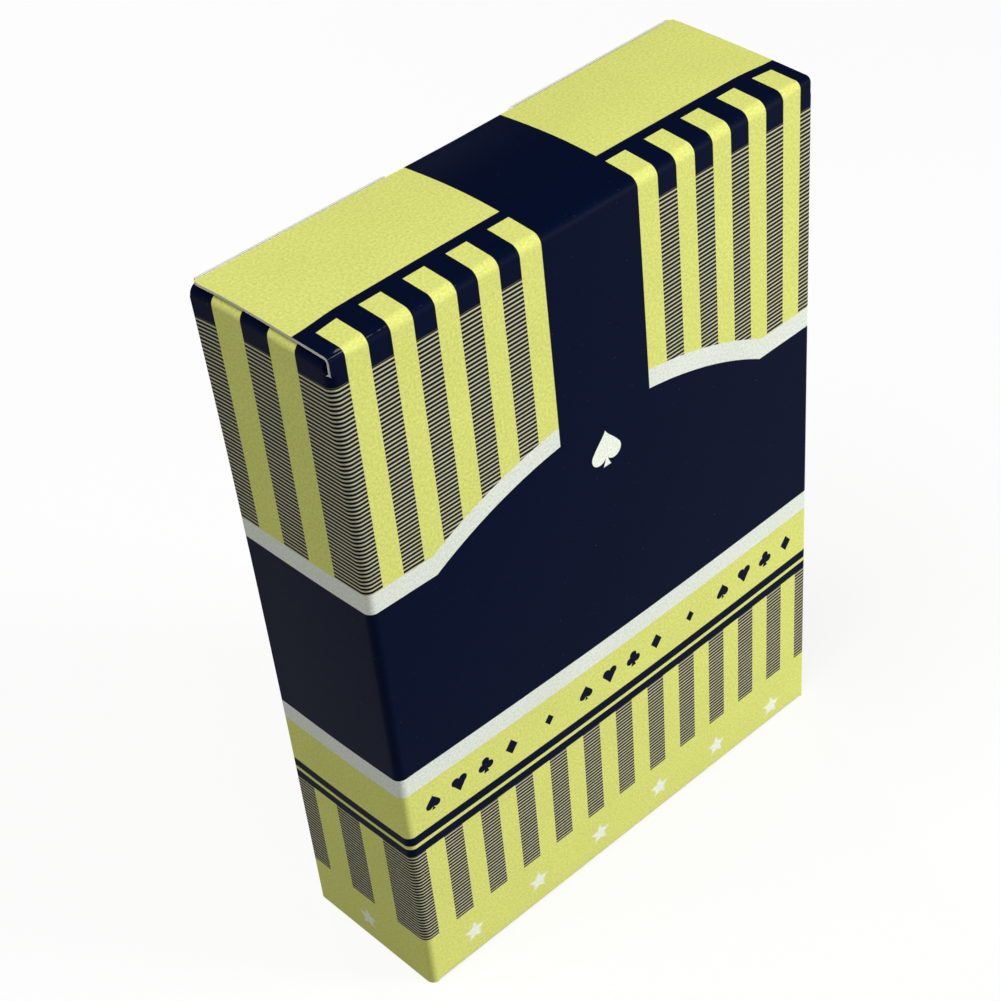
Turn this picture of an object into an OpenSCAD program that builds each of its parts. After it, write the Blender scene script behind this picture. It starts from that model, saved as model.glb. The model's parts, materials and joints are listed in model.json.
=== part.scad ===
// Deck of playing cards in its tuck carton, standing on the carton's bottom end.
// The origin is the middle of the bottom face: +Z is up, and the front panel faces -Y.

/* [Cards] */
// Width of a poker-size card
card_w = 63; // [55:0.5:70]
// Height of a poker-size card
card_h = 88; // [80:0.5:100]
// Thickness of one plastic card
card_t = 0.30; // [0.26:0.01:0.34]
// Air film between neighbouring cards
card_air = 0.01; // [0.005:0.005:0.02]
// Corner radius of a card
card_r = 3.5; // [1:0.25:6]

/* [Carton board] */
// Thickness of the coated board
board_t = 0.45; // [0.3:0.05:0.5]
// Outer radius of the four upright folds
edge_fold_r = 1.0; // [0.9:0.1:1.6]
// Outer radius of the fold that the lid hinges on
lid_fold_r = 1.2; // [1.0:0.1:1.5]
// Outer radius of the fold between the lid and its tuck flap
tuck_fold_r = 1.0; // [0.8:0.1:1.4]
// Outer radius of the folds at the dust flaps
dust_fold_r = 1.2; // [0.8:0.1:1.4]
// Outer radius of the folds round the bottom
bottom_fold_r = 0.8; // [0.6:0.05:1.2]
// Outer radius of the fold at the glue flap
glue_fold_r = 1.0; // [0.7:0.1:1.3]

/* [Room for the deck] */
// Room on each side of the deck
side_play = 1.3; // [1.1:0.1:3]
// Room in front of the deck
front_play = 0.2; // [0.05:0.05:1]
// Room between the deck and the crease of the tuck flap
tuck_room = 1.65; // [1.6:0.05:3]
// Room between the crease of the tuck flap and the back panel
tuck_gap = 0.25; // [0.2:0.05:0.6]
// Room over the deck, under the dust flaps
head_room = 1.55; // [0.5:0.05:4]
// Room between the dust flaps and the lid
lid_gap = 0.1; // [0.05:0.05:0.3]
// Glue or air between two layers of board
layer_gap = 0.05; // [0.02:0.01:0.1]
// Split line between two panels of the sleeve
split_gap = 0.02; // [0.01:0.01:0.05]

/* [Lid and tuck flap] */
// How far the lid's ends stay inside the carton's sides
lid_inset = 0.2; // [0.1:0.05:0.6]
// Straight length of the tuck flap below its fold
tuck_len = 8.5; // [6:0.25:9]
// Lean of the tuck flap towards the deck, in degrees
tuck_lean = 10; // [8:0.5:10.5]
// How far the tuck flap's ends stay inside the carton's sides
tuck_inset = 1.75; // [1.6:0.05:4]
// Corner radius of the tuck flap
tuck_corner_r = 4; // [2:0.5:6]
// Trim that squares off the tuck flap's lower edge
tuck_trim = 0.1; // [0.05:0.05:0.2]
// Depth of the slits at the front top corners
slit_depth = 2.1; // [1.6:0.1:4]
// Width of the slits
slit_w = 0.15; // [0.1:0.05:0.3]

/* [Dust flaps] */
// Reach of a dust flap from its crease
dust_len = 15; // [8:0.5:16]
// How far a dust flap starts behind the lid's fold
dust_front_gap = 0.3; // [0.2:0.1:1]
// How far the back end of a dust flap's crease stays off the back face
dust_back_gap = 1.5; // [1.4:0.1:3]
// Share of the lid's turn that a dust flap makes
dust_turn = 0.6; // [0.3:0.05:0.6]
// Room under the turning lid along a dust flap's front edge
dust_lid_gap = 0.25; // [0.2:0.05:1]
// Room for the tuck flap behind a dust flap, from the back face
dust_relief = 3.3; // [3.2:0.1:6]
// Room between a dust flap's shoulder and the end of the tuck flap
dust_shoulder_gap = 0.3; // [0.2:0.05:0.4]
// Slope of the back edge of a dust flap
dust_back_slope = 0.15; // [0.1:0.01:0.25]
// Corner radius at the tip of a dust flap
dust_corner_r = 2; // [1:0.25:2.5]

/* [Back panel] */
// How far the back panel's top edge stays below the lid's top
back_drop = 0.7; // [0.3:0.1:1]
// Radius of the thumb notch
thumb_r = 8; // [6:0.5:8]
// Radius of the rounded corners at the notch's mouth
thumb_mouth_r = 1.2; // [0.5:0.1:2]
// Width of the glue flap
glue_w = 12; // [6:0.5:14]
// Distance from the glue flap's ends to the ends of the side wall
glue_end = 1; // [0.5:0.5:10]
// How far the glue flap's ends slope in
glue_slope = 4; // [1:0.5:8]
// How far the seam's cut edge stays off the back face
seam_setback = 0.2; // [0.1:0.05:0.4]

/* [Bottom end] */
// Reach of a bottom dust flap from the side wall
bottom_dust_len = 20; // [8:0.5:24]
// Height of the bottom's glued lip inside the back panel
bottom_lip = 10; // [5:0.5:14]
// How far cut edges at the bottom stay off the floor
floor_gap = 0.1; // [0.05:0.05:0.3]

/* [Hidden] */
$fn = 72;
suits = ["spades", "hearts", "clubs", "diamonds"];
ranks = ["ace", "2", "3", "4", "5", "6", "7", "8", "9", "10", "jack", "queen", "king"];
joker_count = 2;
card_nodes = [for (suit = suits) for (rank = ranks) str("card_", suit, "_", rank)];
carton_nodes = ["front_panel", "back_panel", "side_panels", "lid_panel", "tuck_flap",
                "dust_flap_left", "dust_flap_right"];

card_pitch = card_t + card_air;
deck_t = (len(card_nodes) + joker_count) * card_pitch - card_air;

// The carton is sized from the deck and the room round it
carton_w = card_w + 2 * (side_play + board_t);
carton_d = deck_t + front_play + tuck_room + tuck_gap + 3 * board_t;
floor_z = 2 * board_t + layer_gap;
dust_top_z = floor_z + card_h + head_room + board_t;
carton_h = dust_top_z + lid_gap + board_t;
back_top_z = carton_h - back_drop;

left_x = -carton_w / 2;
right_x = carton_w / 2;
front_y = -carton_d / 2;
back_y = carton_d / 2;
deck_front_y = front_y + board_t + front_play;

// Half widths of the front and back walls, the lid and the tuck flap
panel_half = carton_w / 2 - edge_fold_r - split_gap;
lid_half = carton_w / 2 - lid_inset;
tuck_half = carton_w / 2 - tuck_inset;

// A fold that moves is split part of the way round: the panel that carries it keeps fold_split
// degrees of its turn, and the rest goes with the flap. The lid and the dust flaps open about the
// outer edge of the split, and the tuck flap, which folds in further, turns about the inner edge.
fold_split = 45;
fold_rest = 90 - fold_split;
split_in = 1 - cos(fold_split);
split_down = 1 - sin(fold_split);
lid_crease = [front_y + lid_fold_r * split_in, carton_h - lid_fold_r * split_down];
tuck_face_y = back_y - board_t - tuck_gap;
tuck_crease = [tuck_face_y - tuck_fold_r * split_down, carton_h - tuck_fold_r * split_in];
dust_crease = [left_x + dust_fold_r * split_in, dust_top_z - dust_fold_r * split_down];
tuck_tip_z = carton_h - tuck_fold_r * (1 + sin(tuck_lean)) - tuck_len * cos(tuck_lean);

// Where the side walls start and end
side_top_z = dust_top_z - dust_fold_r;
side_bottom_z = board_t + layer_gap + bottom_fold_r;
slit_z = carton_h - slit_depth;
flat_front_y = front_y + edge_fold_r;
flat_back_y = back_y - edge_fold_r;

// Ends of a dust flap's crease, and its slanted edges as [Y at the crease, slope]
dust_front_y = front_y + lid_fold_r + dust_front_gap;
dust_back_y = back_y - dust_back_gap;
dust_shoulder = tuck_inset - dust_fold_r * split_in - dust_shoulder_gap;
dust_front_edge = [lid_crease[0] + dust_lid_gap, dust_turn];
dust_back_edge = [back_y - dust_relief, -dust_back_slope];

// Longer than any piece, for cuts right through
through = carton_w + carton_d + carton_h;

// Y of a slanted edge at a given reach from the crease
function edge_y(edge, reach) = edge[0] + edge[1] * reach;

// Centre of the round between a slanted edge and a dust flap's tip.
// Inward is 1 where the flap lies on the edge's +Y side, and otherwise -1.
function tip_centre(edge, inward) =
    let (reach = dust_len - dust_corner_r)
    [reach, edge_y(edge, reach) + inward * dust_corner_r * sqrt(1 + edge[1] * edge[1])];

// Point where that round meets the slanted edge
function tip_tangent(edge, inward) =
    let (centre = tip_centre(edge, inward), step = inward * dust_corner_r / sqrt(1 + edge[1] * edge[1]))
    [centre[0] + edge[1] * step, centre[1] - step];

// One bend of the board to the left, starting along +X from the origin
module bend(radius, turn) {
    far = 3 * radius;
    translate([0, radius])
        intersection() {
            difference() {
                circle(radius);
                circle(radius - board_t);
            }
            polygon([[0, 0], [0, -far], far * [sin(turn / 2), -cos(turn / 2)],
                     far * [sin(turn), -cos(turn)]]);
        }
}

// Edge-on profile of folded board. Its outer face starts along +X from the origin, with the board
// on the left. A leg is a flat [length, 0] or a bend to the left [outer radius, degrees].
module folded_board(legs, i = 0) {
    if (i < len(legs)) {
        size = legs[i][0];
        turn = legs[i][1];
        if (turn == 0) {
            square([size, board_t]);
            translate([size, 0])
                folded_board(legs, i + 1);
        } else {
            bend(size, turn);
            translate([size * sin(turn), size * (1 - cos(turn))])
                rotate(turn)
                    folded_board(legs, i + 1);
        }
    }
}

// Sweeps a (Y, Z) profile across the carton's width
module across(width) {
    rotate([90, 0, 90])
        linear_extrude(width, center = true)
            children();
}

// Sweeps an (X, Z) profile from one depth to another
module in_depth(from_y, to_y) {
    translate([0, to_y, 0])
        rotate([90, 0, 0])
            linear_extrude(to_y - from_y)
                children();
}

// Sweeps an (X, Y) profile from one height to another
module in_height(from_z, to_z) {
    translate([0, 0, from_z])
        linear_extrude(to_z - from_z)
            children();
}

module both_sides() {
    children();
    mirror([1, 0, 0])
        children();
}

// Rectangle about the origin with all four corners rounded
module rounded_rect(width, height, radius) {
    square([width - 2 * radius, height], center = true);
    square([width, height - 2 * radius], center = true);
    for (x = [-1, 1], y = [-1, 1])
        translate([x * (width / 2 - radius), y * (height / 2 - radius)])
            circle(radius);
}

// Front wall, the half fold that carries the lid, and the bottom with its glued lip: one folded strip
module front_panel() {
    wall_len = carton_h - lid_fold_r - bottom_fold_r;
    bottom_len = carton_d - board_t - layer_gap - 2 * bottom_fold_r;
    color("khaki")
        difference() {
            across(2 * lid_half)
                translate(lid_crease)
                    rotate(180 + fold_rest)
                        folded_board([[lid_fold_r, fold_split], [wall_len, 0], [bottom_fold_r, 90],
                                      [bottom_len, 0], [bottom_fold_r, 90],
                                      [bottom_lip - bottom_fold_r, 0]]);
            both_sides()
                translate([panel_half, flat_front_y - through, slit_z - through])
                    cube(through);
            both_sides()
                translate([tuck_half, flat_back_y, -through / 2])
                    cube(through);
        }
}

// Thumb notch about the middle of the back panel's top edge, as an (X, Z) shape
module thumb_notch() {
    reach = thumb_r + thumb_mouth_r;
    round_at = [sqrt(reach * reach - thumb_mouth_r * thumb_mouth_r), -thumb_mouth_r];
    meets = round_at * thumb_r / reach;
    circle(thumb_r);
    for (side = [0, 1])
        mirror([side, 0])
            difference() {
                polygon([round_at, meets, [meets[0], thumb_mouth_r], [round_at[0], thumb_mouth_r]]);
                translate(round_at)
                    circle(thumb_mouth_r);
            }
}

// Back wall with the thumb notch, and the glue flap that lies inside the left wall
module back_panel() {
    glue_face_x = left_x + board_t + layer_gap;
    flat_left_x = glue_face_x + glue_fold_r;
    glue_bottom_z = side_bottom_z + glue_end;
    glue_top_z = side_top_z - glue_end;
    glue_tip_y = back_y - glue_fold_r - glue_w;
    color("khaki") {
        difference() {
            translate([flat_left_x, back_y - board_t, floor_gap])
                cube([panel_half - flat_left_x, board_t, back_top_z - floor_gap]);
            in_depth(back_y - 2 * board_t, back_y + board_t)
                translate([0, back_top_z])
                    thumb_notch();
        }
        intersection() {
            in_height(glue_bottom_z, glue_top_z)
                translate([flat_left_x, back_y])
                    rotate(180)
                        folded_board([[glue_fold_r, 90], [glue_w, 0]]);
            across(through)
                polygon([[back_y, glue_bottom_z], [back_y, glue_top_z], [back_y - glue_fold_r, glue_top_z],
                         [glue_tip_y, glue_top_z - glue_slope], [glue_tip_y, glue_bottom_z + glue_slope],
                         [back_y - glue_fold_r, glue_bottom_z]]);
        }
    }
}

// What the left wall carries: its top flap's half fold, the flap under the deck and the strip by the slit
module left_wall_ends() {
    slit_back_y = front_y + board_t + slit_w;
    in_depth(dust_front_y, dust_back_y)
        translate(dust_crease)
            rotate(180 + fold_rest)
                bend(dust_fold_r, fold_split);
    in_depth(flat_front_y, flat_back_y)
        translate([left_x, side_bottom_z])
            rotate(270)
                folded_board([[bottom_fold_r, 90], [bottom_dust_len - bottom_fold_r, 0]]);
    translate([left_x, slit_back_y, slit_z])
        cube([board_t, flat_front_y - slit_back_y, side_top_z - slit_z]);
}

// Room cut from a side wall: its flat below the bottom fold, and the front fold above the slit
module left_wall_cuts(flat_end_y) {
    translate([left_x - board_t, flat_front_y, side_bottom_z - through])
        cube([3 * board_t, flat_end_y - flat_front_y, through]);
    translate([left_x - board_t, flat_front_y - through, slit_z])
        cube(through);
}

// Left and right walls with the upright folds and the bottom's dust flaps
module side_panels() {
    seam_y = back_y - seam_setback;
    color("khaki") {
        difference() {
            in_height(floor_gap, side_top_z)
                translate([left_x, seam_y])
                    rotate(270)
                        folded_board([[seam_y - flat_front_y, 0], [edge_fold_r, 90]]);
            left_wall_cuts(through);
        }
        difference() {
            in_height(floor_gap, side_top_z)
                translate([right_x - edge_fold_r, front_y])
                    folded_board([[edge_fold_r, 90], [flat_back_y - flat_front_y, 0], [edge_fold_r, 90]]);
            mirror([1, 0, 0])
                left_wall_cuts(flat_back_y);
        }
        both_sides()
            left_wall_ends();
    }
}

// Lid between its hinge fold and the fold of the tuck flap
module lid_panel() {
    lid_flat = tuck_face_y - tuck_fold_r - front_y - lid_fold_r;
    color("khaki")
        across(2 * lid_half)
            translate(tuck_crease)
                rotate(180 - fold_split)
                    folded_board([[tuck_fold_r, fold_split], [lid_flat, 0], [lid_fold_r, fold_rest]]);
}

// Tuck flap, which leans towards the deck from its fold
module tuck_flap() {
    outline_h = carton_h - tuck_tip_z;
    color("midnightblue")
        intersection() {
            across(2 * tuck_half)
                translate(tuck_crease)
                    rotate(-fold_split)
                        mirror([0, 1])
                            folded_board([[tuck_fold_r, fold_rest + tuck_lean], [tuck_len, 0]]);
            in_depth(front_y, back_y)
                translate([0, tuck_tip_z + tuck_trim + outline_h])
                    rounded_rect(2 * tuck_half, 2 * outline_h, tuck_corner_r);
        }
}

// Plan of the left dust flap, as reach from its crease and Y
module dust_outline() {
    front_start = (dust_front_y - dust_front_edge[0]) / dust_front_edge[1];
    front_round = tip_centre(dust_front_edge, 1);
    back_round = tip_centre(dust_back_edge, -1);
    polygon([[-dust_fold_r, dust_front_y], [front_start, dust_front_y], tip_tangent(dust_front_edge, 1),
             front_round, [dust_len, front_round[1]], [dust_len, back_round[1]], back_round,
             tip_tangent(dust_back_edge, -1), [dust_shoulder, edge_y(dust_back_edge, dust_shoulder)],
             [dust_shoulder, dust_back_y], [-dust_fold_r, dust_back_y]]);
    for (centre = [front_round, back_round])
        translate(centre)
            circle(dust_corner_r);
}

module dust_flap() {
    flat_len = dust_len - dust_fold_r * cos(fold_split);
    color("khaki")
        intersection() {
            in_depth(front_y, back_y)
                translate(dust_crease)
                    rotate(fold_rest)
                        mirror([0, 1])
                            folded_board([[dust_fold_r, fold_rest], [flat_len, 0]]);
            in_height(side_top_z, carton_h)
                translate([dust_crease[0], 0])
                    dust_outline();
        }
}

module dust_flap_left() {
    dust_flap();
}

module dust_flap_right() {
    mirror([1, 0, 0])
        dust_flap();
}

// One card, counted from the front of the deck
module playing_card(place) {
    color("white")
        translate([0, deck_front_y + place * card_pitch + card_t, floor_z + card_h / 2])
            rotate([90, 0, 0])
                linear_extrude(card_t)
                    rounded_rect(card_w, card_h, card_r);
}

// The jokers, behind the four suits
module jokers() {
    for (i = [0 : joker_count - 1])
        playing_card(len(card_nodes) + i);
}

front_panel();
back_panel();
side_panels();
lid_panel();
tuck_flap();
dust_flap_left();
dust_flap_right();
for (i = [0 : len(card_nodes) - 1])
    playing_card(i);
jokers();
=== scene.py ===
"""Looks of a boxed deck of playing cards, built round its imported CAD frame. Sizes are in millimetres."""
import json
import math

import bpy
import numpy as np
from mathutils import Matrix, Vector


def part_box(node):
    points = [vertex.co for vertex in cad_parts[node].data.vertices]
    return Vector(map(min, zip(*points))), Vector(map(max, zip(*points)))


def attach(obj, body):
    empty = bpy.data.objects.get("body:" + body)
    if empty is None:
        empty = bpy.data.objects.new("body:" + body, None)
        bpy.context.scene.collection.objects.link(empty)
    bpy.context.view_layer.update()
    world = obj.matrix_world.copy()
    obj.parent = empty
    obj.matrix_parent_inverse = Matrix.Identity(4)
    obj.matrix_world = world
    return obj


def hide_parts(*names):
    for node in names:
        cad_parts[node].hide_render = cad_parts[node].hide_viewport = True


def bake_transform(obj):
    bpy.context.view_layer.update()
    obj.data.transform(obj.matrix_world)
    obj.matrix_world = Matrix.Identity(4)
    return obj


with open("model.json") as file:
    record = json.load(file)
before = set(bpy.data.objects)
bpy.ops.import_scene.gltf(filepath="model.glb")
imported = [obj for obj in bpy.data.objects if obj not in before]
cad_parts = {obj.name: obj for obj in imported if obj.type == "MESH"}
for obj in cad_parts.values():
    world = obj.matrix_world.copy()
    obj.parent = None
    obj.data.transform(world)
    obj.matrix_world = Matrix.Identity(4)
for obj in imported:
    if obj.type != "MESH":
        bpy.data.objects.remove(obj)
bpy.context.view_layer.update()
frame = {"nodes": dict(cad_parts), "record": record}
MM = 0.001


def low_corner(name):
    """Lowest corner of a CAD node's box, in millimetres."""
    return np.array(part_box(name)[0]) / MM


def high_corner(name):
    """Highest corner of a CAD node's box, in millimetres."""
    return np.array(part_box(name)[1]) / MM


# Places that the frame gives
HALF_W = high_corner("side_panels")[0]
FRONT = low_corner("front_panel")[1]
BACK = high_corner("back_panel")[1]
LID_HALF = high_corner("lid_panel")[0]
LID_TOP = high_corner("lid_panel")[2]
TUCK_HALF = high_corner("tuck_flap")[0]
TUCK_TIP = low_corner("tuck_flap")[2]
DUST_TIP = high_corner("dust_flap_left")[0]
DUST_TOP = high_corner("dust_flap_left")[2]

# The board, its folds and its flaps, after the CAD part
BOARD = 0.45
EDGE_FOLD = 1.0
LID_FOLD = 1.2
DUST_FOLD = 1.2
LAYER_GAP = 0.05
PANEL_HALF = HALF_W - EDGE_FOLD
SLIT_Z = LID_TOP - 2.1
SLIT_W = 0.15
SIDE_TOP = DUST_TOP - DUST_FOLD
FLOOR_GAP = 0.1
SEAM_SETBACK = 0.2
TUCK_LEAN = 10
TUCK_CORNER = 4.0
THUMB_R = 8.0
THUMB_MOUTH = 1.2
DUST_FRONT_GAP = 0.3
DUST_BACK_GAP = 1.5
DUST_SHOULDER_GAP = 0.3
DUST_SHOULDER = 1.45
DUST_RELIEF = 3.3
DUST_SLOPE_START = 0.35
DUST_FRONT_SLOPE = 0.6
DUST_BACK_SLOPE = 0.15
DUST_CORNER = 2.0
BOTTOM_LIP = 10
BOTTOM_DUST = 20
GLUE_W = 12
GLUE_END = 1
GLUE_SLOPE = 4

# Where the pressed carton differs a little from the CAD part
SHEET = 0.34
BOTTOM_FOLD = 0.4
GLUE_FOLD = 0.4
LID_END_FOLD = 0.6
LID_END_X = 27
RIGHT_FOLD = 0.6
RIGHT_TRIM = 0.25
STRIP_LAP = 0.1
TUCK_ROUND = 0.5
LID_CORNER = 0.9
TUCK_SEEN = BACK - SHEET - 0.1
BACK_EDGE = LID_TOP - 0.3

# How far the filled carton's panels swell, lean and taper
FRONT_SWELL = 0.55
LID_SWELL = 0.5
SIDE_SWELL = 0.12
LEAN_START = 25
BACK_LEAN = 0.5
CORNER_RISE = 0.5
CORNER_SPREAD = 0.6
LEFT_TAPER, RIGHT_TAPER = 0.5, 0.35
FOOT_TURN = 0.01

# The print. X runs from the panel's middle, and V down from the lid's top face.
# On the lid, V runs back from the fold and is below 0.
COLUMN_PITCH = 5.42
LINE_PITCH = 0.505
LINE_SHARE = 0.66
LINE_SOFT = 0.12
CENTRE_HALF = 6.65
CAP_END = 3.5
CAP_LAP = 0.2
RULE_NEAR, RULE_FAR = 4.4, 5.7
BAND_TOP, BAND_END = 29.1, 31.7
ARCH_V = 74.4
ARCH_TOP_R, ARCH_END_R = 51.6, 49.2
FIELD_END = 56.2
WHITE_END = 58.9
RULES = ((65.6, 66.9), (67.45, 68.7))
LOWER_END = 83.4
STAR_V = 87.6
STAR_PITCH = 10.55
STAR_SHIFT = 0.3
STAR_R = 1.5
STAR_SINK = 0.055
STAR_SINK_X = 5.0
SIDE_GAPS = ((4.9, 8.9), (12.9, BACK - FRONT - 3.2))
SIDE_STAR_Y = 10.9
SPADE_X = -0.25
SPADE_TIP, SPADE_END = 27.25, 32.05
PIP_V = 62.3
PIP_SIZE = 2.3
PIP_PITCH = 3.9
PIP_REACH = 31.0
PARTING_SIZE = 1.7
SOFT = 0.06

# The coat: its mottle, its gloss, and where it is rubbed, as a middle and a width on the print
MOTTLE = 0.70
CLOUDING = 0.10
GLOSS = 0.022
RUB_CONTRAST = 1.6
RUB_START = 1.45
RUB_MOST = 0.75
SPECK_START = 0.80
SPECK_SHARE = 0.25
CREST_V = (0.05, 0.12)
CREST_LEFT_X = (-31.5, 8)
CORNER_X = (-31.4, 1.2)
CORNER_V = (-0.7, 0.6)
TUCK_EDGE_WIDTH = 0.28
FOOT_WIDTH = 0.5

# The stage: strengths, and the floor's reach in metres
FLOOR_GREY = 0.22
FLOOR_GLOW = 0.77
FLOOR_REACH = 2.5
WORLD_LIGHT = 0.18


def srgb(red, green, blue):
    """A linear colour from an 8-bit one."""
    def linear(value):
        share = value / 255
        return share / 12.92 if share <= 0.04045 else ((share + 0.055) / 1.055) ** 2.4

    return (linear(red), linear(green), linear(blue), 1.0)


YELLOW = srgb(219, 223, 122)
CREAM = srgb(210, 206, 160)
NAVY = srgb(3, 12, 38)
WHITE = srgb(226, 232, 220)
PALE = srgb(240, 246, 230)
CUT_BOARD = srgb(208, 211, 194)
# The cut board made paler: a painted highlight for the back wall's top edge, which faces the lamp above
PAINTED_LIT_BOARD = srgb(226, 231, 219)
WORN_BOARD = srgb(188, 194, 184)
PLAIN_BOARD = srgb(196, 194, 182)
PLASTIC = srgb(240, 240, 232)


class Field:
    """A number that varies over a surface. Arithmetic on it adds math nodes to its material."""

    def __init__(self, tree, socket):
        self.tree = tree
        self.socket = socket

    def math(self, operation, *others, clamp=False):
        node = self.tree.nodes.new("ShaderNodeMath")
        node.operation = operation
        node.use_clamp = clamp
        for slot, value in zip(node.inputs, (self,) + others):
            plug(self.tree, value, slot)
        return Field(self.tree, node.outputs[0])

    def __add__(self, other):
        return self.math("ADD", other)

    def __sub__(self, other):
        return self.math("SUBTRACT", other)

    def __mul__(self, other):
        return self.math("MULTIPLY", other)

    def __truediv__(self, other):
        return self.math("DIVIDE", other)

    def __abs__(self):
        return self.math("ABSOLUTE")

    def least(self, other):
        return self.math("MINIMUM", other)

    def most(self, other):
        return self.math("MAXIMUM", other)

    def root(self):
        return self.math("SQRT")

    def fraction(self):
        return self.math("FRACT")

    def inverse(self):
        """One where this is 0, and 0 where it is 1."""
        return (self * -1.0) + 1.0

    def above(self, edge, soft=SOFT):
        """From 0 below an edge to 1 above it, with a soft step."""
        return ((self - edge) / soft).math("ADD", 0.5, clamp=True)

    def below(self, edge, soft=SOFT):
        return self.above(edge, soft).inverse()

    def between(self, low, high, soft=SOFT):
        return self.above(low, soft) * self.below(high, soft)

    def from_nearest(self, pitch, offset=0.0):
        """Signed distance to the nearest of a row of lines."""
        return (((self - offset) / pitch + 0.5).fraction() - 0.5) * pitch


def plug(tree, value, slot):
    """Joins a field or socket to an input, or sets the input to a constant."""
    if isinstance(value, Field):
        tree.links.new(value.socket, slot)
    elif isinstance(value, bpy.types.NodeSocket):
        tree.links.new(value, slot)
    else:
        slot.default_value = value


def lay(tree, under, over, mask):
    """One ink over another where the mask is 1."""
    node = tree.nodes.new("ShaderNodeMix")
    node.data_type = "RGBA"
    plug(tree, mask, node.inputs[0])
    plug(tree, under, node.inputs[6])
    plug(tree, over, node.inputs[7])
    return node.outputs[2]


def new_material(name):
    """A new material with its nodes and its shader."""
    material = bpy.data.materials.new(name)
    material.use_nodes = True
    tree = material.node_tree
    return material, tree, tree.nodes["Principled BSDF"]


def print_place(tree):
    """The print's X and V as fields, in millimetres."""
    source = tree.nodes.new("ShaderNodeUVMap")
    source.uv_map = "Print"
    split = tree.nodes.new("ShaderNodeSeparateXYZ")
    tree.links.new(source.outputs[0], split.inputs[0])
    return Field(tree, split.outputs[0]), Field(tree, split.outputs[1])


def noise(tree, scale, detail=2.0, roughness=0.5):
    """Noise over the print, from 0 to 1, at so many grains a millimetre."""
    source = tree.nodes.new("ShaderNodeUVMap")
    source.uv_map = "Print"
    node = tree.nodes.new("ShaderNodeTexNoise")
    node.inputs["Scale"].default_value = scale
    node.inputs["Detail"].default_value = detail
    node.inputs["Roughness"].default_value = roughness
    tree.links.new(source.outputs[0], node.inputs["Vector"])
    return Field(tree, node.outputs[0])


def attribute(tree, name):
    """A mesh's own number as a field."""
    node = tree.nodes.new("ShaderNodeAttribute")
    node.attribute_name = name
    return Field(tree, node.outputs["Fac"])


def circle(x, y, centre_x, centre_y, radius, soft=SOFT):
    """Mask of a disc."""
    far_x = x - centre_x
    far_y = y - centre_y
    return (far_x * far_x + far_y * far_y).root().below(radius, soft)


def wedge(x, y, tip_y, end_y, half, soft=SOFT):
    """Mask of a triangle from its tip to a level edge, by the distance from its middle line."""
    slope = half / (end_y - tip_y)
    inside = abs(x) - (y - tip_y) * slope
    return inside.below(0.0, soft) * y.between(min(tip_y, end_y), max(tip_y, end_y), soft)


def spade(x, y, size, soft=SOFT):
    """Mask of a spade pip of a given height. Y runs down from its tip."""
    share = (y / (0.62 * size)).most(0.0)
    flank = share.math("POWER", 1.5) * (share * -1.1 + 2.1) * (0.45 * size)
    body = (abs(x) - flank).below(0.0, soft) * y.between(0.0, 0.62 * size, soft)
    lobes = circle(abs(x), y, 0.225 * size, 0.64 * size, 0.225 * size, soft)
    flare = ((y - 0.68 * size) / (0.3 * size)).most(0.0)
    stem = abs(x) - flare * flare * (0.09 * size)
    stem = stem.below(0.03 * size, soft) * y.between(0.6 * size, 0.98 * size, soft)
    return lobes.most(body).most(stem)


def heart(x, y, size, soft=SOFT):
    """Mask of a heart pip. Y runs down from the top of its lobes."""
    lobes = circle(abs(x), y, 0.23 * size, 0.26 * size, 0.26 * size, soft)
    body = wedge(x, y, size, 0.33 * size, 0.47 * size, soft)
    return lobes.most(body)


def club(x, y, size, soft=SOFT):
    """Mask of a club pip. Y runs down from its top."""
    top = circle(x, y, 0.0, 0.25 * size, 0.24 * size, soft)
    lobes = circle(abs(x), y, 0.24 * size, 0.58 * size, 0.24 * size, soft)
    stem = wedge(x, y, 0.4 * size, size, 0.17 * size, soft)
    return top.most(lobes).most(stem)


def diamond(x, y, size, soft=SOFT):
    """Mask of a diamond pip. Y runs down from its top."""
    return (abs(x) / 0.4 + abs(y - 0.5 * size) / 0.5).below(size, 2 * soft)


def star(x, y, radius):
    """Mask of a five-pointed star about the origin."""
    inner = 0.52 * radius
    half = math.radians(36)
    turn = x.math("ARCTAN2", y * -1.0) / (2 * half)
    angle = abs((turn + 0.5).fraction() - 0.5) * (2 * half)
    reach = (x * x + y * y).root()
    along = reach * angle.math("COSINE") * (inner * math.sin(half))
    aside = reach * angle.math("SINE") * (radius - inner * math.cos(half))
    return ((along + aside) / (radius * inner * math.sin(half))).below(1.0, 0.5)


def suit_row(x, v):
    """Row of small suit pips along the legend band, in three groups parted by diamonds."""
    group = 6 * PIP_PITCH
    parting_x = x.from_nearest(group, 3 * PIP_PITCH)
    masks = diamond(parting_x, v - (PIP_V - PARTING_SIZE / 2), PARTING_SIZE)
    top = v - (PIP_V - PIP_SIZE / 2)
    for place, pip in enumerate((spade, heart, club, diamond)):
        local = x.from_nearest(group, (place - 1.5) * PIP_PITCH)
        masks = masks.most(pip(local, top, PIP_SIZE))
    return masks * abs(x).below(PIP_REACH)


def hatch(v):
    """Mask of the fine level lines."""
    return abs(v.from_nearest(LINE_PITCH)).below(LINE_PITCH * LINE_SHARE / 2, LINE_SOFT)


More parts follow.
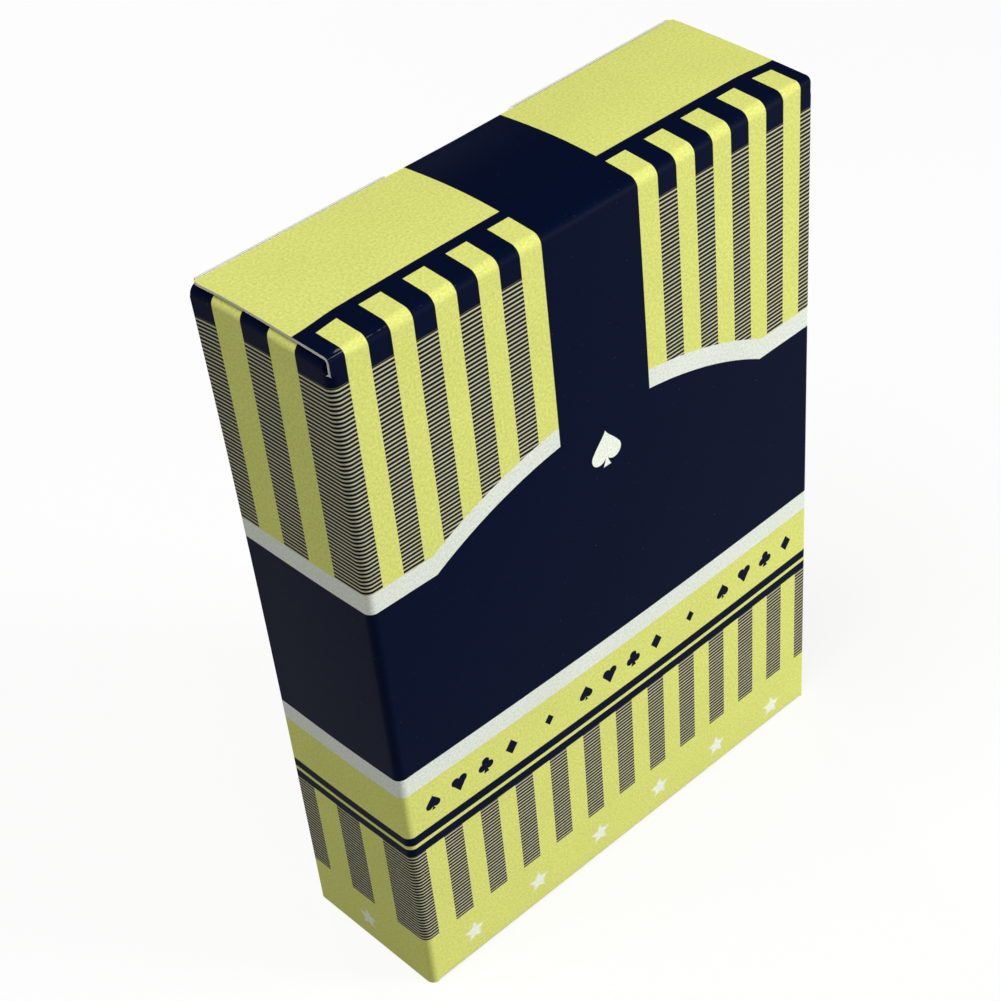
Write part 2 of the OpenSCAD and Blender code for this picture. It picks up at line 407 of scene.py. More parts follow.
def banded(tree, v, columns, lines, band_top, band_end, clear_of_centre):
    """The inks of a wall from top to bottom, on its hatched columns and level bands."""
    hatched = columns * v.above(CAP_END) * v.below(LOWER_END)
    ink = lay(tree, YELLOW, CREAM, hatched)
    ink = lay(tree, ink, NAVY, columns * v.between(-RULE_NEAR - CAP_LAP, CAP_END))
    ink = lay(tree, ink, NAVY, hatched * lines)
    ink = lay(tree, ink, YELLOW, v.between(WHITE_END, RULES[1][1]))
    ink = lay(tree, ink, NAVY, v.between(band_end, FIELD_END))
    ink = lay(tree, ink, WHITE, v.above(band_top) * v.below(band_end) * clear_of_centre)
    ink = lay(tree, ink, WHITE, v.between(FIELD_END, WHITE_END))
    for low, high in RULES:
        ink = lay(tree, ink, NAVY, v.between(low, high))
    return ink


def front_inks(tree, x, v, pips):
    """The print of the front, the lid over it, and the back."""
    columns = abs(x.from_nearest(COLUMN_PITCH)).below(COLUMN_PITCH / 4)
    columns = columns * abs(x).above(1.5 * COLUMN_PITCH).most(v.above(FIELD_END))
    beside = abs(x).above(CENTRE_HALF)
    squared = x * x
    arch_top = (squared * -1.0 + ARCH_TOP_R ** 2).root() * -1.0 + ARCH_V
    arch_end = (squared * -1.0 + ARCH_END_R ** 2).root() * -1.0 + ARCH_V
    band_top = arch_top.least(BAND_TOP)
    band_end = arch_end.least(BAND_END)
    ink = banded(tree, v, columns, hatch(v), band_top, band_end, beside)
    ink = lay(tree, ink, NAVY, v.between(-RULE_FAR, -RULE_NEAR))
    ink = lay(tree, ink, NAVY, beside.inverse() * v.below(FIELD_END))
    star_v = (x - STAR_SINK_X).most(0.0) * STAR_SINK + STAR_V
    stars = star(x.from_nearest(STAR_PITCH, STAR_PITCH / 2 + STAR_SHIFT), v - star_v, STAR_R)
    ink = lay(tree, ink, PALE, stars)
    if pips:
        ink = lay(tree, ink, PALE, spade(x - SPADE_X, v - SPADE_TIP, SPADE_END - SPADE_TIP))
        ink = lay(tree, ink, NAVY, suit_row(x, v))
    return ink


def side_inks(tree, y, v, sink):
    """The print of a side wall. Y runs back from the front face, and the bands sink that way."""
    v = v - y.most(0.0) * sink
    first_gap, second_gap = SIDE_GAPS
    columns = y.between(*first_gap).most(y.between(*second_gap)).inverse()
    ink = banded(tree, v, columns, hatch(v), BAND_TOP, BAND_END, 1.0)
    return lay(tree, ink, PALE, star(y - SIDE_STAR_Y, v - STAR_V, STAR_R))


def coat(tree, shader, ink):
    """Coated board: the ink with a little mottle, rubbed at the folds, under a thin gloss."""
    grain = noise(tree, 3.2, 3.0, 0.65)
    cloud = noise(tree, 0.12, 2.0)
    shade = (grain - 0.5) * MOTTLE + (cloud - 0.5) * CLOUDING + 1.0
    hue = tree.nodes.new("ShaderNodeHueSaturation")
    plug(tree, shade, hue.inputs["Value"])
    plug(tree, ink, hue.inputs["Color"])
    wear = attribute(tree, "fold") + noise(tree, 1.3, 5.0, 0.75) * RUB_CONTRAST - RUB_START
    rub = wear.most(0.0).least(RUB_MOST)
    speck = noise(tree, 4.5, 1.0).above(SPECK_START, 0.05) * SPECK_SHARE
    worn = lay(tree, hue.outputs[0], WORN_BOARD, rub.most(speck))
    tree.links.new(worn, shader.inputs["Base Color"])
    plug(tree, grain * 0.14 + rub * 0.2 + 0.46, shader.inputs["Roughness"])
    shader.inputs["Specular IOR Level"].default_value = GLOSS
    bump = tree.nodes.new("ShaderNodeBump")
    bump.inputs["Strength"].default_value = 0.12
    bump.inputs["Distance"].default_value = 0.03 * MM
    plug(tree, noise(tree, 2.2, 3.0), bump.inputs["Height"])
    tree.links.new(bump.outputs[0], shader.inputs["Normal"])


def printed(name, inks, **options):
    """Material of a printed face."""
    material, tree, shader = new_material(name)
    across, down = print_place(tree)
    coat(tree, shader, inks(tree, across, down, **options))
    return material


def inked(name, colour):
    """Material of a face with one ink all over."""
    material, tree, shader = new_material(name)
    coat(tree, shader, colour)
    return material


def uncoated(name, colour, fibre):
    """Material of bare board, with its fibres."""
    material, tree, shader = new_material(name)
    grain = noise(tree, fibre, 4.0, 0.7)
    hue = tree.nodes.new("ShaderNodeHueSaturation")
    hue.inputs["Color"].default_value = colour
    plug(tree, (grain - 0.5) * 0.35 + 1.0, hue.inputs["Value"])
    tree.links.new(hue.outputs[0], shader.inputs["Base Color"])
    plug(tree, grain * 0.2 + 0.7, shader.inputs["Roughness"])
    shader.inputs["Specular IOR Level"].default_value = 0.2
    return material


def flat_run(start, end, normal, print_start, print_end, steps):
    """Rows of a straight stretch of board, seen edge-on: place, normal and print."""
    t = np.linspace(0, 1, steps + 1)[:, None]
    place = (1 - t) * np.array(start) + t * np.array(end)
    facing = np.tile(np.array(normal, float), (steps + 1, 1))
    return np.hstack([place, facing, (1 - t) * print_start + t * print_end])


def arc_run(centre, radius, start, end, print_start, print_end, steps=10):
    """Rows of a bend, by the angles of its normals in degrees."""
    t = np.linspace(0, 1, steps + 1)[:, None]
    angle = np.radians((1 - t) * start + t * end)
    facing = np.hstack([np.cos(angle), np.sin(angle)])
    place = np.array(centre) + radius * facing
    return np.hstack([place, facing, (1 - t) * print_start + t * print_end])


def joined(*runs):
    """One profile from runs that follow each other."""
    rows = [runs[0]] + [run[1:] for run in runs[1:]]
    return np.vstack(rows)


def swell(place, low, high):
    """From 0 at both ends of a panel to 1 at its middle."""
    share = np.clip((place - low) / (high - low), 0, 1)
    return np.sin(math.pi * share)


def hump(value, middle, width):
    """A smooth hump of height 1."""
    return np.exp(-((value - middle) / width) ** 2)


def leaned(place):
    """Places of the filled carton: pushed out at the top of its back, and out of square at its foot."""
    rise = np.clip((place[..., 2] - LEAN_START) / (LID_TOP - LEAN_START), 0, 1)
    depth = np.clip((place[..., 1] - FRONT) / (BACK - FRONT), 0, 1)
    right = np.clip(place[..., 0] / HALF_W, 0, 1)
    left = np.clip(-place[..., 0] / HALF_W, 0, 1)
    moved = place.copy()
    moved[..., 1] += BACK_LEAN * rise ** 1.5 * depth ** 2
    moved[..., 2] += CORNER_RISE * rise ** 3 * (1 - (1 - depth) ** 2) * right
    moved[..., 0] -= CORNER_SPREAD * rise ** 3 * depth ** 5 * left
    fall = 1 - np.clip(place[..., 2] / LID_TOP, 0, 1)
    moved[..., 0] += (LEFT_TAPER * left * (1 - depth) - RIGHT_TAPER * right) * fall
    moved[..., 1] -= FOOT_TURN * place[..., 0] * fall
    return moved


def board(name, outer, normal, prints, materials, fold=None):
    """A closed sheet of board: its printed face, its plain inside and its cut edges."""
    rows, cols = outer.shape[:2]
    outer = leaned(outer)
    count = rows * cols
    places = np.concatenate([outer.reshape(-1, 3), (outer - SHEET * normal).reshape(-1, 3)]) * MM
    index = np.arange(count).reshape(rows, cols)
    quads = np.stack([index[:-1, :-1], index[1:, :-1], index[1:, 1:], index[:-1, 1:]], -1)
    quads = quads.reshape(-1, 4)
    middle = quads[len(quads) // 2]
    facing = np.cross(places[middle[1]] - places[middle[0]], places[middle[2]] - places[middle[0]])
    if facing @ normal.reshape(-1, 3)[middle[0]] < 0:
        quads = quads[:, ::-1]
    directed = {(a, b) for quad in quads.tolist() for a, b in zip(quad, quad[1:] + quad[:1])}
    rim = [[b, a, a + count, b + count] for a, b in sorted(directed) if (b, a) not in directed]
    # The rim has points of its own, so that its edges stay sharp
    rim_points, own_rim = np.unique(np.array(rim), return_inverse=True)
    own_rim = own_rim.reshape(-1, 4) + 2 * count
    source = np.concatenate([np.arange(2 * count), rim_points])
    faces = quads.tolist() + (quads[:, ::-1] + count).tolist() + own_rim.tolist()
    mesh = bpy.data.meshes.new(name)
    mesh.from_pydata(places[source].tolist(), [], faces)
    flats = len(quads)
    kind = np.repeat([0, 1, 2], [flats, flats, len(rim)]).astype(np.int32)
    mesh.polygons.foreach_set("material_index", kind)
    mesh.polygons.foreach_set("use_smooth", kind < 2)
    corners = source[np.array(faces).ravel()]
    flat_prints = prints.reshape(-1, 2)
    on_print = flat_prints[corners % count]
    mesh.uv_layers.new(name="Print").uv.foreach_set("vector", on_print.astype(np.float32).ravel())
    bake = bake_places(flat_prints, corners, flats, len(rim), count)
    mesh.uv_layers.new(name="OFBake").uv.foreach_set("vector", bake.astype(np.float32).ravel())
    worn = np.zeros((rows, cols)) if fold is None else np.broadcast_to(fold, (rows, cols))
    wear = mesh.attributes.new("fold", "FLOAT", "POINT")
    wear.data.foreach_set("value", worn.ravel()[source % count].astype(np.float32))
    for material in materials:
        mesh.materials.append(material)
    mesh.update()
    piece = bpy.data.objects.new(name, mesh)
    bpy.context.scene.collection.objects.link(piece)
    return piece


def bake_places(prints, corners, flats, rims, count):
    """Places on the export's map: the printed face over most of it, then the inside, then the edges."""
    low, high = prints.min(0), prints.max(0)
    share = (prints - low) / np.maximum(high - low, 1e-6)
    margin = 0.01
    edge_top = 0.035
    inside_low, inside_high = 0.05, 0.14
    face_low, face_high = 0.16, 0.99
    across = margin + share[:, 0] * (1 - 2 * margin)
    face = np.column_stack([across, face_low + share[:, 1] * (face_high - face_low)])
    inside = np.column_stack([across, inside_low + share[:, 1] * (inside_high - inside_low)])
    place = np.where((corners < count)[:, None], face[corners % count], inside[corners % count])
    strip = np.linspace(margin, 1 - margin, rims + 1)
    edge = np.empty((rims, 4, 2))
    edge[:, [0, 3], 0] = strip[1:, None]
    edge[:, [1, 2], 0] = strip[:-1, None]
    edge[:, :2, 1] = edge_top
    edge[:, 2:, 1] = margin
    place[8 * flats:] = edge.reshape(-1, 2)
    return place


def across_x(profile, half, columns, trim=0.0):
    """Grid of a (Y, Z) profile swept across a width: places, normals and print."""
    half = np.broadcast_to(half, len(profile))[:, None]
    x = -half + (2 * half - trim) * np.linspace(0, 1, columns)[None, :]
    rows = np.repeat(profile[:, None, :], columns, axis=1)
    place = np.stack([x, rows[..., 0], rows[..., 1]], -1)
    normal = np.stack([np.zeros_like(x), rows[..., 2], rows[..., 3]], -1)
    prints = np.stack([x, rows[..., 4]], -1)
    return place, normal, prints


def up_z(profile, low, high, levels):
    """Grid of an (X, Y) profile swept upwards: places, normals and print."""
    z = np.linspace(0, 1, levels)[:, None] * (high - low) + low
    z = np.broadcast_to(z, (levels, len(profile)))
    rows = np.repeat(profile[None, :, :], levels, axis=0)
    place = np.stack([rows[..., 0], rows[..., 1], z], -1)
    normal = np.stack([rows[..., 2], rows[..., 3], np.zeros_like(z)], -1)
    prints = np.stack([rows[..., 4], LID_TOP - z], -1)
    return place, normal, prints


def tilted(place, normal):
    """Normals of a swollen grid, taken from the grid itself."""
    along = np.gradient(place, axis=0)
    aside = np.gradient(place, axis=1)
    out = np.cross(along, aside)
    out /= np.linalg.norm(out, axis=-1, keepdims=True)
    return out * np.sign((out * normal).sum(-1, keepdims=True))


def front_swell(x, z):
    """How far the front stands out."""
    return FRONT_SWELL * swell(x, -PANEL_HALF, PANEL_HALF) * swell(z, 0, LID_TOP - LID_FOLD)


def lid_swell(x, y):
    """How far the lid stands up."""
    along = swell(y, FRONT + LID_FOLD, TUCK_SEEN - TUCK_ROUND)
    return LID_SWELL * swell(x, -LID_HALF, LID_HALF) * along


INSIDE = uncoated("plain_board", PLAIN_BOARD, 2.6)
EDGE = uncoated("cut_board", CUT_BOARD, 4.0)
# A paler copy of the cut board, carrying a painted highlight, for the back wall's cut edges
PAINTED_LIT_EDGE = uncoated("cut_board_painted_lit", PAINTED_LIT_BOARD, 4.0)
FRONT_PRINT = printed("front_print", front_inks, pips=True)
BACK_PRINT = printed("back_print", front_inks, pips=False)
SIDE_PRINTS = {
    -1: printed("left_print", side_inks, sink=0.03),
    1: printed("right_print", side_inks, sink=0.0),
}
YELLOW_PRINT = inked("yellow_print", YELLOW)
NAVY_PRINT = inked("navy_print", NAVY)


def carried(piece, body, slot, *nodes):
    """A piece that moves with a body and stands for its nodes."""
    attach(piece, body)
    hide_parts(*nodes)


def folded(piece, bodies, start, end, slot, *nodes):
    """A piece with a fold, fixed where it was built, that stands for its nodes."""
    [value * MM for value in start]
    [value * MM for value in end]
    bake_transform(piece)
    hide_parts(*nodes)


def front_wall():
    """The front wall with the half fold at its foot."""
    fold_centre = (FRONT + BOTTOM_FOLD, BOTTOM_FOLD)
    fold_v = LID_TOP - BOTTOM_FOLD
    profile = joined(
        arc_run(fold_centre, BOTTOM_FOLD, 225, 180, LID_TOP, fold_v, 5),
        flat_run((FRONT, BOTTOM_FOLD), (FRONT, SLIT_Z), (-1, 0), fold_v, LID_TOP - SLIT_Z, 60),
    )
    place, normal, prints = across_x(profile, PANEL_HALF, 49, RIGHT_FOLD - EDGE_FOLD)
    place[..., 1] -= front_swell(place[..., 0], place[..., 2])
    fold = hump(place[..., 2], BOTTOM_FOLD / 2, FOOT_WIDTH)
    materials = (FRONT_PRINT, INSIDE, EDGE)
    piece = board("front_wall", place, tilted(place, normal), prints, materials, fold)
    carried(piece, "carton", "carton_board", "front_panel")


def bottom_end():
    """The bottom end with its glued lip."""
    back = BACK - BOARD - LAYER_GAP
    profile = joined(
        arc_run((FRONT + BOTTOM_FOLD, BOTTOM_FOLD), BOTTOM_FOLD, 225, 270, 0, 1, 5),
        flat_run((FRONT + BOTTOM_FOLD, 0), (back - BOTTOM_FOLD, 0), (0, -1), 1, 18, 12),
        arc_run((back - BOTTOM_FOLD, BOTTOM_FOLD), BOTTOM_FOLD, 270, 360, 18, 19, 8),
        flat_run((back, BOTTOM_FOLD), (back, BOTTOM_LIP), (1, 0), 19, 28, 6),
    )
    half = np.where(profile[:, 0] < FRONT + EDGE_FOLD, PANEL_HALF, TUCK_HALF)
    place, normal, prints = across_x(profile, half, 25)
    piece = board("bottom_end", place, normal, prints, (YELLOW_PRINT, INSIDE, EDGE))
    carried(piece, "carton", "carton_board", "front_panel")


def lid_profile(radius):
    """Rows of the lid from its front strip to the tuck flap, for a radius of its hinge fold."""
    tuck_fold = (TUCK_SEEN - TUCK_ROUND, LID_TOP)
    tuck_centre = (tuck_fold[0], LID_TOP - TUCK_ROUND)
    fold_centre = (FRONT + radius, LID_TOP - radius)
    return joined(
        flat_run((FRONT, SLIT_Z), (FRONT, LID_TOP - radius), (-1, 0), LID_TOP - SLIT_Z, LID_FOLD, 4),
        arc_run(fold_centre, radius, 180, 90, LID_FOLD, -LID_FOLD, 14),
        flat_run((FRONT + radius, LID_TOP), tuck_fold, (0, 1), -LID_FOLD, FRONT - tuck_fold[0], 24),
        arc_run(tuck_centre, TUCK_ROUND, 90, 45, FRONT - tuck_fold[0], FRONT - TUCK_SEEN, 6),
    )


def lid():
    """The lid with its front strip. Its hinge fold is rounder in the middle than at the ends."""
    profile = lid_profile(LID_FOLD)
    into_corner = np.clip(profile[:, 0] - (TUCK_SEEN - LID_CORNER), 0, LID_CORNER)
    half = LID_HALF - LID_CORNER + np.sqrt(LID_CORNER ** 2 - into_corner ** 2)
    place, normal, prints = across_x(profile, half, 49, RIGHT_TRIM)
    tight = across_x(lid_profile(LID_END_FOLD), half, 49, RIGHT_TRIM)[0]
    share = np.clip((np.abs(place[..., 0]) - LID_END_X) / (LID_HALF - LID_END_X), 0, 1)[..., None]
    place = place + (tight - place) * share * share * (3 - 2 * share)
    low = place[..., 2] < LID_TOP - LID_FOLD
    place[..., 1] -= np.where(low, front_swell(place[..., 0], place[..., 2]), 0)
    place[..., 2] += lid_swell(place[..., 0], place[..., 1]) * (normal[..., 2] > 0.999)
    across, down = prints[..., 0], prints[..., 1]
    crest = hump(down, *CREST_V) * (0.7 + 0.3 * hump(across, *CREST_LEFT_X))
    corner = hump(across, *CORNER_X) * hump(down, *CORNER_V)
    tuck_edge = hump(down, down.min(), TUCK_EDGE_WIDTH)
    fold = np.clip(crest + corner + tuck_edge, 0, 1)
    materials = (FRONT_PRINT, INSIDE, EDGE)
    piece = board("lid", place, tilted(place, normal), prints, materials, fold)
    start = (0, FRONT, LID_TOP - LID_FOLD)
    end = (0, FRONT + LID_FOLD, LID_TOP)
    folded(piece, ("carton", "lid"), start, end, "carton_board", "lid_panel")


def tuck_flap():
    """The tuck flap, leaning towards the deck, with round corners at its tip."""
    centre = (TUCK_SEEN - TUCK_ROUND, LID_TOP - TUCK_ROUND)
    lean = math.radians(TUCK_LEAN)
    facing = np.array([math.cos(lean), -math.sin(lean)])
    down = np.array([-math.sin(lean), -math.cos(lean)])
    start = np.array(centre) + TUCK_ROUND * facing
    length = (start[1] - TUCK_TIP) / math.cos(lean)
    bend_print = 1.3
    profile = joined(
        arc_run(centre, TUCK_ROUND, 45, -TUCK_LEAN, 0, bend_print, 8),
        flat_run(start, start + length * down, facing, bend_print, bend_print + length, 30),
    )
    above_tip = np.clip(profile[:, 1] - TUCK_TIP, 0.02, TUCK_CORNER)
    half = TUCK_HALF - TUCK_CORNER + np.sqrt(TUCK_CORNER ** 2 - (TUCK_CORNER - above_tip) ** 2)
    place, normal, prints = across_x(profile, half, 41)
    piece = board("tuck_flap_sheet", place, normal, prints, (NAVY_PRINT, INSIDE, EDGE))
    # Points at the crease and a little way down the flap, which folded() does not use
    bend = (0, TUCK_SEEN, LID_TOP - 0.4 * TUCK_ROUND)
    end = (0, TUCK_SEEN - 0.3, LID_TOP - 2.4)
    folded(piece, ("lid", "tuck"), bend, end, "tuck_board", "tuck_flap")


def dust_flap(side, name, body, node):
    """A dust flap with its half fold. Its slanted edges clear the lid and the tuck flap."""
    slit_end = FRONT + BOARD + SLIT_W
    crease_front = slit_end + DUST_FRONT_GAP
    crease_back = BACK - (DUST_SHOULDER_GAP if side < 0 else DUST_BACK_GAP)
    profile = joined(
        flat_run((-HALF_W, SIDE_TOP - 0.01), (-HALF_W, SIDE_TOP), (-1, 0), 0, 0.01, 1),
        arc_run((-HALF_W + DUST_FOLD, SIDE_TOP), DUST_FOLD, 180, 90, 0.01, 2, 10),
        flat_run((-HALF_W + DUST_FOLD, DUST_TOP), (DUST_TIP, DUST_TOP), (0, 1), 2, 16, 24),
    )
    x, z = profile[:, 0], profile[:, 1]
    reach = x + HALF_W
    past = reach - DUST_SLOPE_START
    front_edge = np.maximum(crease_front, slit_end + DUST_FRONT_SLOPE * past)
    slanted_back = BACK - DUST_RELIEF - DUST_BACK_SLOPE * past
    back_edge = np.where(reach < DUST_SHOULDER, crease_back, slanted_back)
    into_round = np.clip(x - (DUST_TIP - DUST_CORNER), 0, DUST_CORNER - 0.02)
    cut = DUST_CORNER - np.sqrt(DUST_CORNER ** 2 - into_round ** 2)
    t = np.linspace(0, 1, 25)[None, :]
    y = (front_edge + cut)[:, None] * (1 - t) + (back_edge - cut)[:, None] * t
    spread = np.ones_like(t)
    place = np.stack([side * -x[:, None] * spread, y, z[:, None] * spread], -1)
    normal = np.stack([side * -profile[:, 2:3] * spread, 0 * y, profile[:, 3:4] * spread], -1)
    prints = np.stack([y - FRONT, -profile[:, 4:5] * spread], -1)
    piece = board(name, place, normal, prints, (SIDE_PRINTS[side], INSIDE, SIDE_PRINTS[side]))
    start = (side * HALF_W, 0, SIDE_TOP)
    end = (side * (HALF_W - DUST_FOLD), 0, DUST_TOP)
    folded(piece, ("carton", body), start, end, "flap_board", node)


def side_wall(side, name):
    """A side wall with its upright folds. The left one ends in the glued seam."""
    radius = EDGE_FOLD if side < 0 else RIGHT_FOLD
    front_centre = (HALF_W - radius, FRONT + radius)
    end_y = BACK - SEAM_SETBACK if side < 0 else BACK - EDGE_FOLD
    runs = [
        arc_run(front_centre, radius, 270, 360, -radius, radius),
        flat_run((HALF_W, FRONT + radius), (HALF_W, end_y), (1, 0), radius, end_y - FRONT, 20),
    ]
    if side > 0:
        depth = BACK - FRONT
        back_centre = (HALF_W - EDGE_FOLD, BACK - EDGE_FOLD)
        runs.append(arc_run(back_centre, EDGE_FOLD, 0, 90, depth - EDGE_FOLD, depth + EDGE_FOLD))
    profile = joined(*runs)
    low = np.full(len(profile), FLOOR_GAP)
    high = np.where(profile[:, 1] < FRONT + radius - 1e-6, SLIT_Z, SIDE_TOP)
    if side > 0:
        past = np.clip(profile[:, 1] - (BACK - EDGE_FOLD), 0, EDGE_FOLD) / EDGE_FOLD
        high = high + (BACK_EDGE - SIDE_TOP) * np.sqrt(1 - (1 - past) ** 2)
    place, normal, prints = up_z(profile, low, high, 40)
    on_flat = normal[..., 0] > 0.999
    bow = swell(place[..., 1], FRONT + EDGE_FOLD, BACK - EDGE_FOLD) * swell(place[..., 2], 0, SIDE_TOP)
    place[..., 0] += np.where(on_flat, SIDE_SWELL * bow, 0)
    for grid in (place, normal):
        grid[..., 0] *= side
    piece = board(name, place, normal, prints, (SIDE_PRINTS[side], INSIDE, EDGE))
    carried(piece, "carton", "carton_board", "side_panels")


def slit_strip(side, name):
    """The strip of a side wall between its slit and its flat, above the upright fold."""
    start = FRONT + BOARD + SLIT_W
    end = FRONT + (EDGE_FOLD if side < 0 else RIGHT_FOLD + STRIP_LAP)
    profile = flat_run((HALF_W, start), (HALF_W, end), (1, 0), start - FRONT, end - FRONT, 3)
    low = np.full(len(profile), SLIT_Z)
    place, normal, prints = up_z(profile, low, np.full(len(profile), SIDE_TOP), 6)
    for grid in (place, normal):
        grid[..., 0] *= side
    piece = board(name, place, normal, prints, (SIDE_PRINTS[side], INSIDE, SIDE_PRINTS[side]))
    carried(piece, "carton", "carton_board", "side_panels")


def bottom_dust_flap(side, name):
    """The flap of a side wall that lies under the deck."""
    z = BOARD + LAYER_GAP
    fold_x = -HALF_W + BOARD + BOTTOM_FOLD
    profile = joined(
        arc_run((fold_x, z + BOTTOM_FOLD), BOTTOM_FOLD, 190, 270, 0, 1, 6),
        flat_run((fold_x, z), (-HALF_W + BOTTOM_DUST, z), (0, -1), 1, 20, 6),
    )
    y = np.tile(np.linspace(FRONT + EDGE_FOLD, BACK - EDGE_FOLD, 9), (len(profile), 1))
    rows = np.repeat(profile[:, None, :], y.shape[1], axis=1)
    place = np.stack([-side * rows[..., 0], y, rows[..., 1]], -1)
    normal = np.stack([-side * rows[..., 2], np.zeros_like(y), rows[..., 3]], -1)
    prints = np.stack([y, rows[..., 4]], -1)
    piece = board(name, place, normal, prints, (YELLOW_PRINT, INSIDE, EDGE))
    carried(piece, "carton", "carton_board", "side_panels")


def notch_depth(x):
    """How far the thumb notch lowers the back wall's edge."""
    x = np.abs(x)
    reach = THUMB_R + THUMB_MOUTH
    round_x = math.sqrt(reach ** 2 - THUMB_MOUTH ** 2)
    meets = round_x * THUMB_R / reach
    bowl = np.sqrt(np.maximum(THUMB_R ** 2 - x ** 2, 0))
    mouth = THUMB_MOUTH - np.sqrt(np.maximum(THUMB_MOUTH ** 2 - (round_x - x) ** 2, 0))
    return np.where(x < meets, bowl, np.where(x < round_x, mouth, 0))


def back_wall():
    """The back wall with its thumb notch. Its columns lie closer together at the notch."""
    left = -HALF_W + BOARD + LAYER_GAP + GLUE_FOLD
    turn = np.linspace(0, math.pi / 2, 30)
    half = np.concatenate([
        THUMB_R * np.sin(turn[:-4]),
        np.linspace(7.96, 9.13, 12),
        np.linspace(9.6, PANEL_HALF, 20),
    ])
    x = np.concatenate([-half[:0:-1], half])
    x = np.clip(x, left, PANEL_HALF)
    x = np.unique(np.round(x, 4))[::-1]
    t = np.linspace(0, 1, 40)[:, None]
    top = (BACK_EDGE - notch_depth(x))[None, :]
    z = FLOOR_GAP + (top - FLOOR_GAP) * t
    spread = np.ones_like(z)
    place = np.stack([x[None, :] * spread, BACK * spread, z], -1)
    normal = np.stack([0 * z, spread, 0 * z], -1)
    prints = np.stack([-place[..., 0], LID_TOP - z], -1)
    # Its cut edges take the paler copy of the cut board: a painted highlight on the top edge lit from
    # above
    piece = board("back_wall", place, normal, prints, (BACK_PRINT, INSIDE, PAINTED_LIT_EDGE))
    carried(piece, "carton", "carton_board", "back_panel")


def glue_flap():
    """The glue flap inside the left wall, with its fold."""
    face = -HALF_W + BOARD + LAYER_GAP
    fold_y = BACK - GLUE_FOLD
    bend_print = 1.4
    profile = joined(
        arc_run((face + GLUE_FOLD, fold_y), GLUE_FOLD, 90, 180, 0, bend_print, 8),
        flat_run((face, fold_y), (face, fold_y - GLUE_W), (-1, 0), bend_print, bend_print + GLUE_W, 6),
    )
    slope = GLUE_END + GLUE_SLOPE * np.clip(profile[:, 4] - bend_print, 0, None) / GLUE_W
    bottom = BOARD + LAYER_GAP + BOTTOM_FOLD
    place, normal, prints = up_z(profile, bottom + slope, SIDE_TOP - slope, 20)
    piece = board("glue_flap", place, normal, prints, (YELLOW_PRINT, INSIDE, EDGE))
    carried(piece, "carton", "carton_board", "back_panel")


def card_material():
    """White plastic of the cards, a little different from card to card."""
    material, tree, shader = new_material("card_plastic")
    info = tree.nodes.new("ShaderNodeObjectInfo")
    place = tree.nodes.new("ShaderNodeTexCoord")
    texture = tree.nodes.new("ShaderNodeTexNoise")
    texture.inputs["Scale"].default_value = 900.0
    texture.inputs["Detail"].default_value = 3.0
    tree.links.new(place.outputs["Object"], texture.inputs["Vector"])
    grain = Field(tree, texture.outputs[0])
    shade = Field(tree, info.outputs["Random"]) * 0.10 + grain * 0.06 + 0.87
    hue = tree.nodes.new("ShaderNodeHueSaturation")
    hue.inputs["Color"].default_value = PLASTIC
    plug(tree, shade, hue.inputs["Value"])
    tree.links.new(hue.outputs[0], shader.inputs["Base Color"])
    plug(tree, grain * 0.12 + 0.34, shader.inputs["Roughness"])
    return material


def dress_cards():
    """The cards keep their CAD solids and get their plastic."""
    plastic = card_material()
    for name in frame["record"]["behaviour"]["bodies"]["deck"]:
        slots = frame["nodes"][name].data.materials
        for i in range(len(slots)):
            slots[i] = plastic


def seen_directly(tree):
    """One for rays that show the background itself, through glass too."""
    path = tree.nodes.new("ShaderNodeLightPath")
    by_camera = Field(tree, path.outputs["Is Camera Ray"])
    return by_camera.most(Field(tree, path.outputs["Is Transmission Ray"]))


def stage_floor():
    """Pale floor that the camera sees as white."""
    mesh = bpy.data.meshes.new("floor")
    corners = [(x * FLOOR_REACH, y * FLOOR_REACH, 0) for x, y in ((-1, -1), (1, -1), (1, 1), (-1, 1))]
    mesh.from_pydata(corners, [], [(0, 1, 2, 3)])
    material, tree, shader = new_material("white_floor")
    shader.inputs["Base Color"].default_value = (FLOOR_GREY, FLOOR_GREY, FLOOR_GREY, 1)
    shader.inputs["Roughness"].default_value = 0.9
    path = tree.nodes.new("ShaderNodeLightPath")
    seen = seen_directly(tree).most(Field(tree, path.outputs["Is Glossy Ray"]))
    shader.inputs["Emission Color"].default_value = (1, 1, 1, 1)
    plug(tree, seen * FLOOR_GLOW, shader.inputs["Emission Strength"])
    mesh.materials.append(material)
    floor = bpy.data.objects.new("floor", mesh)
    bpy.context.scene.collection.objects.link(floor)


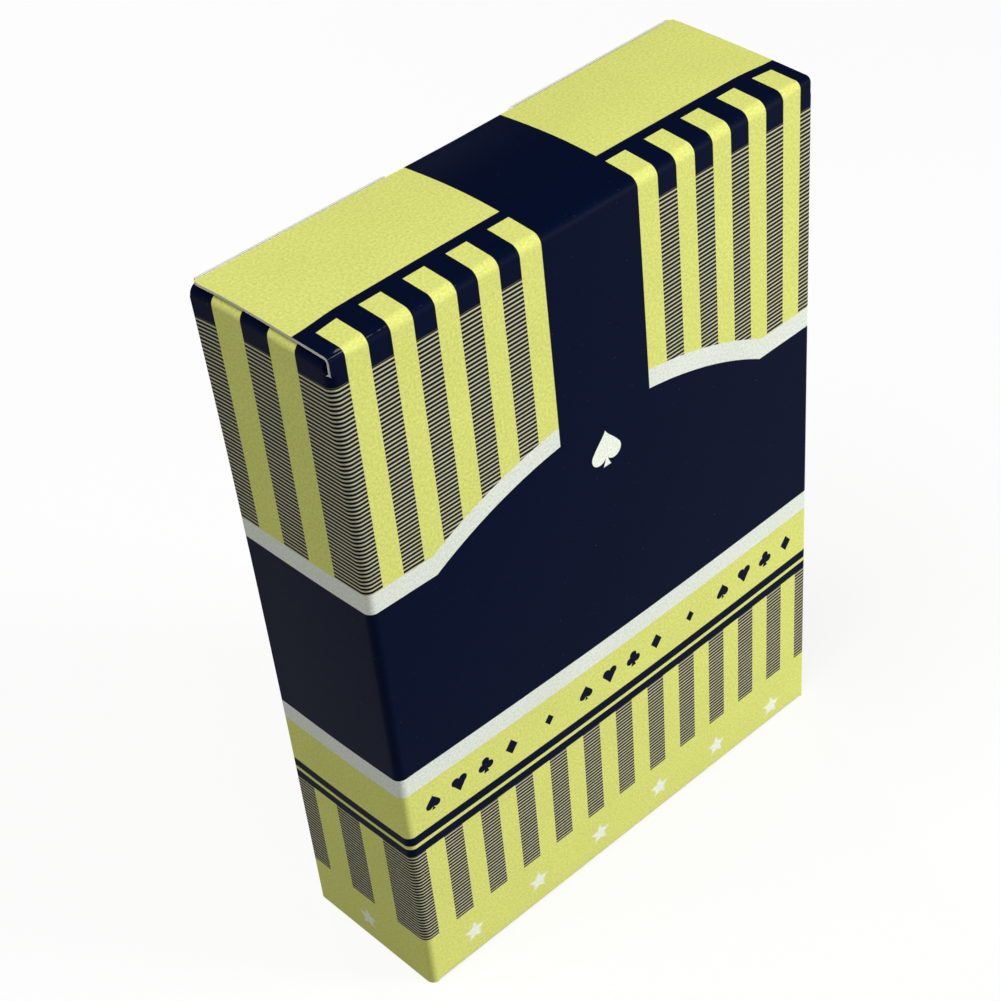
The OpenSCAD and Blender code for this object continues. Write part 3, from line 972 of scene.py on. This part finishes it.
def area_light(name, place, target, size, power):
    """A round lamp, with its places in metres."""
    data = bpy.data.lights.new(name, "AREA")
    data.shape = "DISK"
    data.size = size
    data.energy = power
    lamp = bpy.data.objects.new(name, data)
    lamp.location = place
    lamp.rotation_euler = (Vector(target) - Vector(place)).to_track_quat("-Z", "Y").to_euler()
    bpy.context.scene.collection.objects.link(lamp)


def lights():
    """A dim white world, a lamp over the carton, one in front of it and one behind it."""
    world = bpy.data.worlds.new("studio")
    world.use_nodes = True
    bpy.context.scene.world = world
    tree = world.node_tree
    background = tree.nodes["Background"]
    background.inputs["Color"].default_value = (1, 1, 1, 1)
    strength = seen_directly(tree) * (1 - WORLD_LIGHT) + WORLD_LIGHT
    plug(tree, strength, background.inputs["Strength"])
    middle = (0, 0, 0.05)
    area_light("key", (-0.24, -0.05, 0.72), middle, 0.6, 4.1)
    area_light("front", (0.58, -0.70, 0.16), middle, 0.3, 7.4)
    area_light("back", (0.35, 0.85, 0.05), middle, 0.09, 4.0)


def camera():
    """The photograph's camera, from a fit to the carton's corners and print."""
    focal_pixels = 2052.3
    image_pixels = 1001
    eye = Vector((-116.985, -135.246, 197.376)) * MM
    right = Vector((0.727923, -0.680724, -0.082114))
    down = Vector((-0.483221, -0.424352, -0.765782))
    ahead = Vector((0.486441, 0.597110, -0.637836))
    data = bpy.data.cameras.new("camera")
    data.sensor_width = 36
    data.lens = focal_pixels / image_pixels * data.sensor_width
    data.clip_start = 0.01
    view = bpy.data.objects.new("camera", data)
    turn = Matrix((right, -down, -ahead)).transposed()
    view.matrix_world = Matrix.Translation(eye) @ turn.to_4x4()
    bpy.context.scene.collection.objects.link(view)
    bpy.context.scene.camera = view


front_wall()
bottom_end()
lid()
tuck_flap()
dust_flap(-1, "left_dust_flap", "dust_left", "dust_flap_left")
dust_flap(1, "right_dust_flap", "dust_right", "dust_flap_right")
side_wall(-1, "left_wall")
side_wall(1, "right_wall")
slit_strip(-1, "left_slit_strip")
slit_strip(1, "right_slit_strip")
bottom_dust_flap(-1, "left_bottom_flap")
bottom_dust_flap(1, "right_bottom_flap")
back_wall()
glue_flap()
dress_cards()
stage_floor()
lights()
camera()

scene = bpy.context.scene
scene.view_settings.view_transform = "Standard"
